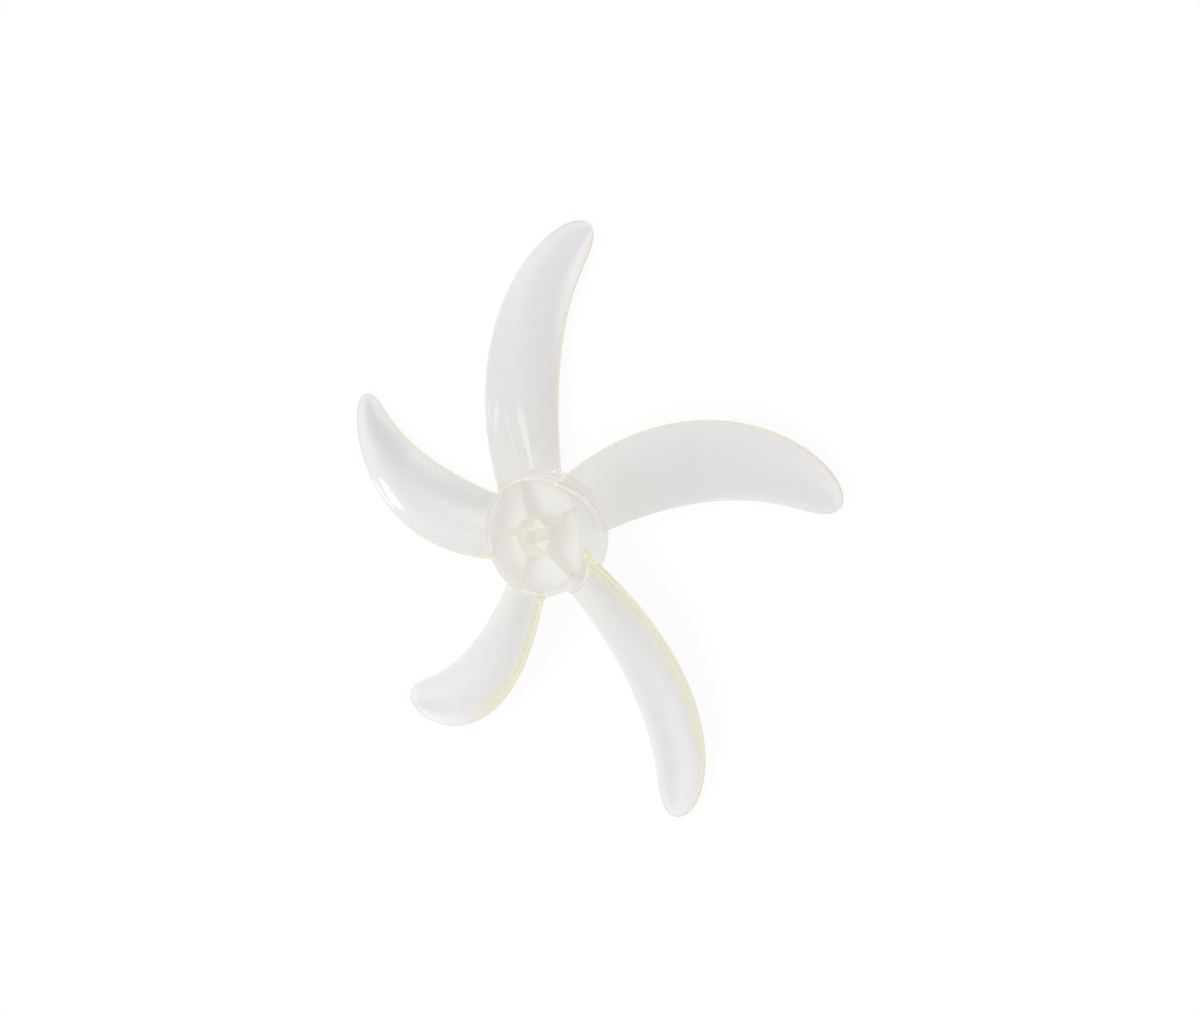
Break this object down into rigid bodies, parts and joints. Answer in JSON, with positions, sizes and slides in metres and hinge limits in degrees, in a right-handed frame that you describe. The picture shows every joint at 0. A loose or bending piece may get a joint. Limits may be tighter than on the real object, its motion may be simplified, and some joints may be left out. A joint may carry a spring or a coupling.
{
  "type": "fan blade",
  "caption": "Clear moulded fan rotor with forward-swept, hollow-faced sickle blades on a cup-shaped hub with a pinned shaft bore.",
  "frame": {"origin": "on the axis of the shaft bore, in the plane of the hub's rear rim and the boss's rear end", "axes": "+Z along the shaft axis towards the front, where the air leaves and the retaining nut seats; one blade tip lies on +Y"},
  "size_m": [0.3817, 0.3707, 0.029],
  "materials": {
    "clear_plastic": "clear, glossy, faintly yellow at the edges"
  },
  "bodies": {
    "root": {"fan_blade": "clear_plastic"}
  },
  "joints": []
}
